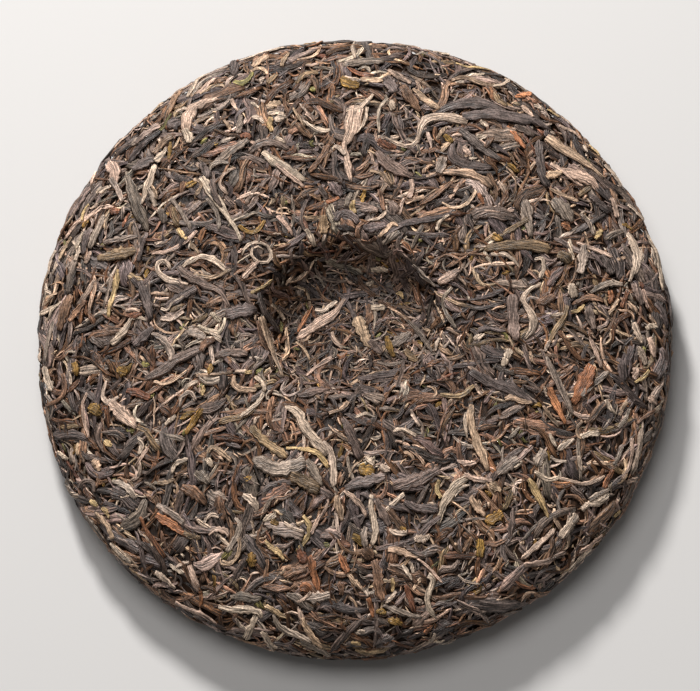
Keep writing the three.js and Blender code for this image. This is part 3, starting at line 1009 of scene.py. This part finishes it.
tan 253,68,5 261,62,8 269,58,6
tan 282,68,4 285,61,6 289,55,3
green 234,83,4 242,85,7 249,81,5 253,74,3
tan 251,73,3 257,70,4 264,71,4 268,76,3
cream 264,78,3 262,81,5 261,85,2
olive 267,84,4 272,80,6 278,76,3
olive 296,85,3 304,77,5 318,73,5
rose 232,101,4 234,106,4 238,112,2
cream 251,104,2 255,106,4 259,109,2
tan 267,109,5 273,106,8 281,103,4
cream 268,115,3 275,114,5 284,115,4
cream 275,121,4 281,119,8 286,117,4
straw 271,118,4 270,125,6 272,132,4
cream 252,118,3 259,119,6 264,125,3
grey 241,116,4 240,125,7 239,134,5
tan 224,121,3 228,126,4 231,131,2
orange 240,137,3 246,136,6 251,139,4
grey 221,143,3 228,140,5 235,137,3
cream 276,138,3 281,141,4 286,144,2
rose 276,165,3 290,177,5 304,187,4
mauve 213,173,4 213,185,7 216,198,7 222,208,3
ochre 186,187,4 191,185,7 197,183,3
tan 194,180,3 200,182,4 201,188,4 196,196,3
tan 293,109,2 299,118,3 305,127,3
rose 306,114,4 311,118,5 314,122,3
brown 296,124,4 303,131,8 312,138,5
cream 442,52,3 446,53,5 450,55,2
straw 455,65,2 466,69,3 478,71,4 489,73,3
cream 473,78,2 479,76,4 484,76,3
cream 492,88,3 502,86,4 510,81,4 511,76,3 507,74,2
grey 512,84,3 521,88,4 530,92,2
rose 508,92,2 513,97,3 519,103,2
rust 514,99,3 523,97,6 531,95,5
olive 493,92,3 498,101,6 506,108,4
rose 521,107,3 526,112,6 532,119,3
cream 533,107,4 538,109,6 542,112,3
straw 546,111,3 552,115,4 558,120,3
rose 560,117,3 567,123,4 575,131,3
rose 558,127,3 569,133,5 580,141,3
cream 582,147,3 584,151,4 586,157,2
straw 588,146,3 594,149,5 600,156,3
rose 550,164,3 562,172,4 572,181,4 582,187,2
tan 546,179,5 553,175,9 561,174,4
mauve 514,127,4 524,131,8 534,137,5
brown 485,149,4 489,143,5 493,137,3
cream 476,137,4 481,138,6 486,139,3
cream 480,122,3 484,125,5 488,128,2
rose 463,147,4 467,152,6 471,157,2
cream 469,159,2 473,159,3 477,158,2
rose 498,182,3 503,189,5 507,197,3
rust 478,194,3 481,199,5 483,205,2
brown 501,207,4 505,198,6 507,192,3
rose 631,438,3 631,452,4 629,464,4 620,479,2
cream 652,412,3 657,407,5 661,400,2
brown 636,424,3 644,417,4 653,410,3
rose 647,398,6 650,400,8 654,403,3
rose 635,368,6 635,374,8 634,380,3
straw 648,370,3 642,378,4 634,383,2
tan 626,402,5 622,408,4 619,416,3
grey 628,409,3 626,417,4 620,425,5 617,428,3
tan 582,421,3 577,428,3 577,435,3 581,439,2
cream 578,456,3 579,463,5 581,471,2
grey 550,457,3 557,461,3 566,462,3
grey 622,447,2 618,456,4 613,465,4
rose 625,482,4 630,480,5 635,477,3
grey 588,500,4 598,494,5 608,489,3
straw 615,518,3 619,515,5 622,512,3
rose 655,452,2 653,460,3 649,469,3
grey 650,422,3 653,430,4 650,437,3
mauve 376,500,5 382,512,8 389,526,5
grey 366,527,4 364,537,7 366,547,5
rust 339,554,3 344,564,7 348,573,5
brown 361,552,6 368,554,10 374,556,5
rust 300,589,4 306,587,8 311,592,4
brown 338,583,4 342,589,7 341,595,4
mauve 404,545,3 413,551,4 423,556,2
straw 439,480,3 437,490,5 441,498,4
cream 416,540,4 423,539,6 430,536,3
rose 311,592,3 304,599,3 297,602,2
tan 303,617,3 307,628,6 316,640,6 322,646,3
grey 300,640,3 312,645,5 327,652,5 331,654,3
cream 402,565,3 407,572,4 412,580,2
mauve 355,610,3 362,618,4 371,622,3
ochre 376,612,3 381,611,6 386,613,3
brown 256,321,5 260,340,8 268,357,7 273,370,4
mauve 369,341,5 376,347,10 382,354,4
grey 392,346,4 399,341,11 410,333,5
ochre 387,336,4 389,346,7 394,357,4
slate 358,379,4 375,377,8 391,374,9 403,368,4
mauve 403,361,4 404,375,6 398,389,4
cream 437,352,5 440,346,6 442,339,5
straw 397,295,3 400,293,4 403,299,3
rust 336,354,2 341,358,3 347,353,2
grey 313,275,2 320,279,3 325,288,2
cream 342,245,2 346,247,3 350,246,2
straw 245,373,4 252,373,4
grey 332,347,2 336,352,4 333,358,3
olive 405,350,5 412,357,8 419,363,5
rose 290,375,2 293,371,3 288,366,2
grey 149,190,4 153,198,6 156,207,4
tan 152,186,2 156,193,4 157,200,3
grey 90,249,5 95,237,8 101,224,7 105,216,4
slate 84,255,5 86,242,7 91,229,5
rose 86,264,4 89,258,6 91,252,3
grey 112,180,5 118,190,6 123,202,4
straw 178,229,4 182,235,6 187,240,4
cream 155,244,3 160,244,4 165,243,2
mauve 187,214,4 194,208,7 201,202,5
slate 202,164,6 205,171,9 209,179,7
cream 66,250,3 60,262,5 54,275,3
straw 90,205,2 85,214,4 84,222,3
tan 73,238,2 66,250,4 62,261,3
cream 62,302,2 54,310,4 50,320,3
brown 86,301,4 78,312,6 70,322,4
slate 590,197,6 600,205,9 608,214,6
grey 581,215,3 589,225,4 593,236,3
straw 595,240,3 598,235,5 601,231,4
tan 613,263,3 619,260,4 625,258,3
ochre 621,225,3 627,227,4 631,231,2
rust 561,224,4 566,227,6 570,231,4
orange 639,283,2 641,286,4 642,290,2
mauve 633,284,6 637,294,9 642,305,6
rose 642,290,3 644,299,4 647,309,3
rose 648,338,5 651,348,7 653,358,5
tan 608,315,3 613,308,4 618,300,3
rust 621,308,4 624,300,5 627,292,4
cream 640,248,2 641,255,3 642,263,2
slate 601,256,5 607,266,9 612,275,6
slate 335,222,6 342,214,9 352,217,9 358,224,5
ink 336,227,4 345,229,8 355,229,5
olive 323,216,6 324,225,10 324,234,7
slate 363,228,6 373,228,11 386,225,6
mauve 360,210,5 369,210,9 378,211,5
brown 363,223,4 358,229,5 358,237,4
tan 379,237,3 386,231,5 392,224,5 398,227,3
straw 354,201,3 352,208,6 355,214,4
ochre 365,191,3 363,197,5 362,203,3
grey 346,207,4 348,200,6 351,193,4
slate 331,183,6 336,190,11 342,196,6
rust 326,203,3 332,201,5 339,198,3
mauve 320,186,4 323,193,6 327,200,4
brown 379,190,3 382,200,5 384,211,4
mauve 390,202,5 394,209,10 393,216,6
rose 404,199,3 401,207,4 400,216,3
grey 343,234,2 349,233,3 354,236,2
brown 361,239,4 369,241,5 377,237,4
grey 384,243,4 391,238,8 400,233,6
tan 406,204,3 415,200,5 424,197,5
rose 411,180,4 412,190,5 409,199,4
"""


def smooth_path(points, stations):
    """Even places on a smooth curve through a few points, and its length over the first two columns."""
    ends = np.vstack([2 * points[0] - points[1], points, 2 * points[-1] - points[-2]])
    curve = []
    for i in range(1, len(ends) - 2):
        a, b, c, d = ends[i - 1 : i + 3]
        t = np.linspace(0, 1, STEPS_BETWEEN, endpoint=i == len(ends) - 3)[:, None]
        curve.append(b + 0.5 * t * (c - a + t * (2 * a - 5 * b + 4 * c - d + t * (3 * (b - c) + d - a))))
    curve = np.vstack(curve)
    length = running_length(curve)
    even = np.linspace(0, length[-1], stations)
    return np.column_stack([np.interp(even, length, row) for row in curve.T]), length[-1]


def lay_seen():
    """The leaves of the photograph, laid last on top of the heap."""
    rows = [line.split() for line in SEEN.strip().splitlines()]
    kind = make_kind(
        "shown_leaves", len(rows), None, None, 0.2, 15, 9, None,
        hues=[row[0] for row in rows], brightness=(0.08, 0.07), tint=0.01,
        roll=0.1, pressed=0.95, over=0.22, contrast=0.25, look=dict(groove_painted_shade=0.42, crest=1.85),
    )
    make_ready(kind, blunt=0.6)
    kind.picks = np.arange(kind.count)
    kind.long = np.zeros(kind.count)
    kind.wide = np.zeros(kind.count)
    stops = []
    for i, (_, *words) in enumerate(rows):
        has_widths = "," in words[0]
        points = words if has_widths else words[1:]
        path = np.array([[float(value) for value in word.split(",")] for word in points])
        even, length = smooth_path(path, kind.stations)
        kind.long[i] = length * PIXEL
        if has_widths:
            widest = path[:, 2].max()
            kind.wide[i] = widest * PIXEL * WIDENED_BY_PIXEL
            kind.taper[i] = np.clip(even[:, 2] / widest, THINNEST, 1)
        else:
            kind.wide[i] = min(float(words[0]) * PIXEL * WIDENED_WHOLE, WIDEST_SHOWN)
        at = on_the_back(even[:, :2])
        stops.append(stop_at(at, unit(np.gradient(at.point, axis=0)))[0])
    kind.courses = joined(stops, 0)
    for i in range(kind.count):
        lay_down(kind, i, picked(kind.courses, i))
    return kind


def choose_colours(kind):
    """A colour for each leaf: its own or one of its kind's, then paler or darker and a little off it."""
    hues = kind.hues
    if hues is None:
        chance = np.array(list(kind.colours.values()), float)
        hues = rng.choice(list(kind.colours), kind.count, p=chance / chance.sum())
    base = np.array([linear(COLOURS[hue]) for hue in hues])
    bright = np.exp(rng.normal(*kind.brightness, (kind.count, 1)))
    cast = np.exp(rng.normal(0, kind.tint, (kind.count, 3)))
    return base * bright * cast


def leaf_ribs(kind, share, above):
    """The ribs on the tops of leaves: up at every second corner, down between, wavy lengthwise."""
    shape = (kind.count, 1, kind.sides)
    first = np.where(rng.random((kind.count, 1, 1)) < 0.5, 1.0, -1.0)
    crest = np.where(np.arange(kind.sides) % 2, 1.0, -1.0) * above * first * drawn(*RIB_SIZES, shape)
    sway = share[:, None] * drawn(*RIB_WAVES, shape) + rng.random(shape)
    return crest * (RIB_LEVEL + RIB_SWELL * np.cos(TURN * sway))


def leaf_tones(kind, u, rib, rise, inside):
    """Colours at the corners, patchy lengthwise, with painted highlight on rib crests and edges and painted
    shade in the grooves, down in the heap and on the dimple's floor.
    """
    # Painted light: paler on the rib crests and on the edges, darker in the grooves between the ribs.
    painted_rib_light = kind.contrast * rib + EDGE_PAINTED_HIGHLIGHT * np.abs(u) ** 3 - PAINTED_LIGHT_OFFSET
    colour = choose_colours(kind)[:, None, None, :]
    patch = np.exp(PATCHINESS * np.cumsum(rng.normal(0, 1, (kind.count, kind.stations)), 1))[..., None]
    # Painted shade: corners that lie lower in the heap are darker.
    deep = 1 - PAINTED_DEPTH_SHADE + PAINTED_DEPTH_SHADE * smoothstep(rise, *PAINTED_DEPTH_RANGE)
    # Painted shade on the dimple's floor, fading out where inside falls to 0.
    colour = colour * (np.exp(painted_rib_light) * patch * deep * (1 - DIMPLE_PAINTED_SHADE * inside)[..., None])[..., None]
    return colour / np.maximum(1, colour.max(-1, keepdims=True) / PALEST)


def leaf_arrays(kind, evened):
    """The corners of a kind's leaves, their colours and their own coordinates.

    A leaf's section has one corner below and the others in an arch above it. u is where each
    corner lies across the leaf, from 1 to -1.
    """
    course = picked(kind.courses, kind.picks)
    a_leaf = (kind.count, 1, 1)
    share = np.linspace(0, 1, kind.stations)
    tops = kind.sides - 1
    u = np.append(np.linspace(1, -1, tops), 0.0)
    above = np.arange(kind.sides) < tops
    arch = 1 - np.abs(u) ** 4
    rib = leaf_ribs(kind, share, above)
    ragged = 1 + RAGGED * rng.normal(0, 1, (kind.count, kind.stations, 2))
    wide = (kind.wide[:, None] / 2 * kind.taper)[..., None]
    across = wide * u * np.where(u > 0, ragged[..., :1], ragged[..., 1:])
    thick = (kind.wide[:, None] * kind.flatness * np.minimum(1, kind.taper * THICK_ENDS))[..., None]
    dome = np.where(above, EDGE_SHARE + (1 - EDGE_SHARE) * arch**ARCH_POWER, 0.0)
    base = kind.lift - EVENED * evened(course.length, angle_around(course.point)) + TOP_LEVEL
    rise = base[..., None] + thick * (dome + kind.ridges * rib * arch)
    inside = 1 - smoothstep(course.length, *FLOOR_FADE)
    roll = rng.normal(0, kind.roll, a_leaf)
    roll = roll + rng.normal(0, TWIST * kind.roll, a_leaf) * (share[:, None] - 0.5)
    height = (rise + across * np.sin(roll)) * (1 - DIMPLE_FLATNESS * inside)[..., None]
    across = across * np.cos(roll)
    corner = course.point[:, :, None] + course.side[:, :, None] * across[..., None]
    corner = corner + course.normal[:, :, None] * height[..., None]
    colour = leaf_tones(kind, u, rib, rise, inside)
    slant = rng.normal(0, kind.drift * SLANT, a_leaf) * share[:, None]
    along = (share * kind.long[:, None])[..., None]
    own = np.stack(np.broadcast_arrays(u * wide + slant, along, drawn(0, GRAIN_SPREAD, a_leaf)), -1)
    return settled(corner), colour, own


def seen_share(kind):
    """How much of each leaf is the topmost thing where it lies."""
    return np.array([np.mean(top > heap[where] - SLIVER) for where, top in kind.traces])


def band_quads(rings, sides):
    """Four-cornered faces between rings of corners, by corner number."""
    ring = np.arange(sides)
    after = (ring + 1) % sides
    row = np.arange(rings - 1)[:, None] * sides
    return np.stack([row + ring, row + after, row + sides + after, row + sides + ring], -1).reshape(-1, 4)


def leaf_faces(n, stations, sides):
    """The faces round each of n leaves and one at each of its ends, by corner number."""
    ring = np.arange(sides)
    ends = np.stack([ring[::-1], (stations - 1) * sides + ring])
    offset = np.arange(n)[:, None, None] * stations * sides
    return (band_quads(stations, sides) + offset).reshape(-1, 4), ends + offset


def bake_places(n, stations, sides):
    """Where each leaf's faces lie in the unit square, a rectangle for each leaf."""
    columns = max(1, int(round(math.sqrt(n / BAKE_ASPECT))))
    rows = -(-n // columns)
    left = (np.arange(n) % columns / columns)[:, None, None]
    low = (np.arange(n) // columns / rows)[:, None, None]
    along = (END_GAP + (1 - 2 * END_GAP) * np.arange(stations) / (stations - 1)) / columns
    around = (SIDE_GAP + (1 - 2 * SIDE_GAP) * np.arange(sides + 1) / sides) / rows
    uv = np.stack(np.broadcast_arrays(left + along[:, None], low + around), -1)
    quads = np.stack([uv[:, :-1, :-1], uv[:, :-1, 1:], uv[:, 1:, 1:], uv[:, 1:, :-1]], 3)
    caps = np.stack([uv[:, 0, :-1][:, ::-1], uv[:, -1, :-1]], 1)
    return quads.reshape(-1, 2), caps.reshape(-1, 2)


def add_mesh(name, points, face_sizes, corners, colours, own, bake, look):
    """A smooth mesh object of the given corners, with its colours, coordinates and material."""
    mesh = bpy.data.meshes.new(name)
    mesh.vertices.add(len(points))
    mesh.vertices.foreach_set("co", (points * MM).astype(np.float32).ravel())
    mesh.loops.add(len(corners))
    mesh.loops.foreach_set("vertex_index", corners.astype(np.int32))
    mesh.polygons.add(len(face_sizes))
    starts = np.concatenate([[0], np.cumsum(face_sizes)[:-1]])
    mesh.polygons.foreach_set("loop_start", starts.astype(np.int32))
    mesh.update(calc_edges=True)
    mesh.validate()
    tone = mesh.attributes.new("tone", "FLOAT_COLOR", "POINT")
    filled = np.column_stack([colours, np.ones(len(colours))])
    tone.data.foreach_set("color", filled.astype(np.float32).ravel())
    grain = mesh.attributes.new("grain", "FLOAT_VECTOR", "POINT")
    grain.data.foreach_set("vector", own.astype(np.float32).ravel())
    layer = mesh.uv_layers.new(name="OFBake")
    layer.data.foreach_set("uv", bake.astype(np.float32).ravel())
    mesh.shade_smooth()
    mesh.materials.append(leaf_material(name, **look))
    piece = bpy.data.objects.new(name, mesh)
    bpy.context.scene.collection.objects.link(piece)
    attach(piece, "root")
    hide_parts(NODE)


def add_leaves(kind, evened):
    """A kind's leaves as one piece, without those that show the least, unless the photograph has them."""
    arrays = leaf_arrays(kind, evened)
    keep = np.arange(kind.count)
    if kind.hues is None:
        shown = seen_share(kind)
        triangles = (kind.stations - 1) * kind.sides * 2 + 2 * (kind.sides - 2)
        most = min(TRIANGLES_A_PIECE // triangles, int((shown > LEAST_SHOWN).sum()))
        keep = np.sort(np.argsort(-shown)[:most])
    points, colours, own = (rows[keep].reshape(-1, 3) for rows in arrays)
    quads, caps = leaf_faces(len(keep), kind.stations, kind.sides)
    corners = np.concatenate([quads.ravel(), caps.ravel()])
    sizes = np.concatenate([np.full(len(quads), 4), np.full(2 * len(keep), kind.sides)])
    bake = np.vstack(bake_places(len(keep), kind.stations, kind.sides))
    add_mesh(kind.name, points, sizes, corners, colours, own, bake, kind.look)


def soft_noise(points, size, seed):
    """Smooth noise at points, mostly from -1 to 1, with lumps about size across."""
    source = np.random.default_rng(seed)
    total = 0
    for _ in range(NOISE_WAVES):
        direction = unit(source.normal(0, 1, 3))
        rate = TURN / size * (NOISE_RATES[0] + NOISE_RATES[1] * source.random())
        total = total + np.sin(points @ direction * rate + TURN * source.random())
    return total / NOISE_LEVEL


def add_mass():
    """The pressed mass under the leaves, rough and mottled, its colour darkened as painted shade in the
    gaps.
    """
    length = np.linspace(0, OUTLINE.whole, MASS_RINGS)[1:-1]
    around = np.arange(MASS_SECTORS) / MASS_SECTORS * TURN
    rings, sectors = len(length), MASS_SECTORS
    at = places(*np.meshgrid(length, around, indexing="ij"))
    rough = sum(size * soft_noise(at.point, lump, seed) for size, lump, seed in MASS_ROUGHNESS)
    points = at.point - at.normal * (UNDER_LAYER - rough)[..., None]
    poles = places(np.array([0.0, OUTLINE.whole]), np.zeros(2)).point
    poles[:, 2] += [-UNDER_LAYER, UNDER_LAYER]
    points = np.vstack([settled(points).reshape(-1, 3), settled(poles)])
    size, lump, seed = MASS_MOTTLING
    mottle = size * soft_noise(points, lump, seed)[:, None]
    # Painted shade: the mass's umber is darkened so that the gaps between the leaves look shadowed.
    colours = linear(COLOURS["umber"]) * MASS_PAINTED_SHADE * (1 + mottle)
    own = np.column_stack([points[:, 0] * MASS_GRAIN, points[:, 1], np.zeros(len(points))])
    quads = band_quads(rings, sectors)[:, [0, 3, 2, 1]]
    ring = np.arange(sectors)
    after = (ring + 1) % sectors
    last = (rings - 1) * sectors
    top = np.column_stack([np.full(sectors, rings * sectors), ring, after])
    bottom = np.column_stack([np.full(sectors, rings * sectors + 1), last + after, last + ring])
    corners = np.concatenate([quads.ravel(), top.ravel(), bottom.ravel()])
    sizes = np.concatenate([np.full(len(quads), 4), np.full(2 * sectors, 3)])
    bake = mass_bake_places(rings, around)[corners]
    look = dict(groove_painted_shade=0.6, crest=1.4, bump=0.3)
    add_mesh("pressed_mass", points, sizes, corners, np.clip(colours, 0, 1), own, bake, look)


def mass_bake_places(rings, around):
    """Where the mass's corners lie in the unit square: the back in its left half, the front in its right."""
    index = np.arange(rings)
    back = index < rings / 2
    reach = (np.where(back, index, rings - 1 - index) + 1) / (rings / 2 + 2) * BAKE_RADIUS
    u = np.where(back, 0.25, 0.75)[:, None] + reach[:, None] * np.cos(around)
    v = 0.5 + 2 * reach[:, None] * np.sin(around) * 0.98
    return np.vstack([np.column_stack([u.ravel(), v.ravel()]), [[0.25, 0.5], [0.75, 0.5]]])


def fill(node, inputs):
    """Gives a node's inputs their values, or links them to the outputs of other nodes."""
    for name, value in inputs.items():
        if isinstance(value, bpy.types.NodeSocket):
            node.id_data.links.new(value, node.inputs[name])
        else:
            node.inputs[name].default_value = value


def add_node(tree, kind, output, inputs, **settings):
    """Adds a node and gives back its output of that name."""
    node = tree.nodes.new("ShaderNode" + kind)
    for name, value in settings.items():
        setattr(node, name, value)
    fill(node, inputs)
    return node.outputs[output]


def add_noise(tree, vector, scale, roughness):
    inputs = {"Vector": vector, "Scale": scale, "Detail": 2.0, "Roughness": roughness}
    return add_node(tree, "TexNoise", "Fac", inputs)


def add_range(tree, value, before, after):
    """Turns values of one range into those of another."""
    inputs = {"Value": value, "From Min": before[0], "From Max": before[1]}
    return add_node(tree, "MapRange", "Result", {**inputs, "To Min": after[0], "To Max": after[1]})


def leaf_material(name, groove_painted_shade=0.22, crest=2.5, bump=1.15):
    """Dry leaf: its colour from the corners, streaked along the leaf with painted shade in the ribs' grooves
    and painted highlight on their crests, mottled, with fine lengthwise ribs.

    groove_painted_shade and crest are how bright the streaks' darkest and palest parts are.
    """
    material = bpy.data.materials.new(name)
    material.use_nodes = True
    tree = material.node_tree
    tone = add_node(tree, "Attribute", "Color", {}, attribute_name="tone")
    grain = add_node(tree, "Attribute", "Vector", {}, attribute_name="grain")
    stretched = add_node(tree, "Mapping", "Vector", {"Vector": grain, "Scale": STREAK_SCALE})
    ribs = add_noise(tree, stretched, 1.0, 0.55)
    # Painted light: the streaks are dark where the rib noise is low and pale where it is high, as the bump
    # makes grooves and crests of it.
    streaks = add_range(tree, ribs, STREAK_RANGE, (groove_painted_shade, crest))
    place = add_node(tree, "TexCoord", "Object", {})
    spots = add_noise(tree, place, SPOTS_A_METRE, 0.6)
    mottle = add_range(tree, spots, SPOT_RANGE, SPOT_SHADES)
    both = add_node(tree, "Math", "Value", {0: streaks, 1: mottle}, operation="MULTIPLY")
    tint = add_node(tree, "VectorMath", "Vector", {"Vector": tone, "Scale": both}, operation="SCALE")
    relief = add_node(tree, "Bump", "Normal", {"Strength": bump, "Distance": RIB_DEPTH, "Height": ribs})
    looks = {
        "Base Color": tint,
        "Roughness": add_range(tree, spots, SPOT_RANGE, ROUGHNESS),
        "Normal": relief,
        "Specular IOR Level": 0.5,
    }
    fill(tree.nodes["Principled BSDF"], looks)
    return material


def aim(thing, target):
    thing.rotation_euler = (Vector(target) - thing.location).to_track_quat("-Z", "Y").to_euler()


def add_light(name, place, size, power, colour):
    data = bpy.data.lights.new(name, "AREA")
    data.shape = "DISK"
    data.size = size
    data.energy = power
    data.color = colour
    light = bpy.data.objects.new(name, data)
    light.location = place
    aim(light, LIT_PLACE)
    bpy.context.scene.collection.objects.link(light)


def add_floor():
    bpy.ops.mesh.primitive_plane_add(size=FLOOR_SIZE)
    floor = bpy.context.object
    floor.name = "floor"
    paint = bpy.data.materials.new("floor_paint")
    paint.use_nodes = True
    shader = paint.node_tree.nodes["Principled BSDF"]
    fill(shader, {"Base Color": FLOOR_COLOUR, "Roughness": FLOOR_ROUGHNESS})
    floor.data.materials.append(paint)


def add_camera():
    data = bpy.data.cameras.new("camera")
    data.sensor_width = SENSOR
    data.lens = SENSOR * CAMERA_DISTANCE / VIEW_WIDTH
    camera = bpy.data.objects.new("camera", data)
    target = Vector(CAMERA_TARGET) * MM
    back = Vector((0, -math.sin(CAMERA_LEAN), math.cos(CAMERA_LEAN)))
    camera.location = target + CAMERA_DISTANCE * MM * back
    aim(camera, target)
    bpy.context.scene.collection.objects.link(camera)
    bpy.context.scene.camera = camera


def add_studio():
    """A pale floor, a key light from beyond the cake, a soft fill from above, a dim sky and the camera."""
    add_floor()
    for light in LIGHTS:
        add_light(**light)
    world = bpy.data.worlds.new("studio")
    world.use_nodes = True
    sky = world.node_tree.nodes["Background"]
    fill(sky, {"Color": WORLD_COLOUR, "Strength": WORLD_STRENGTH})
    bpy.context.scene.world = world
    add_camera()
    bpy.context.scene.view_settings.view_transform = "Standard"


lay_all()
shown_leaves = lay_seen()
evened = evened_heap()
for kind in [*KINDS, shown_leaves]:
    add_leaves(kind, evened)
add_mass()
add_studio()
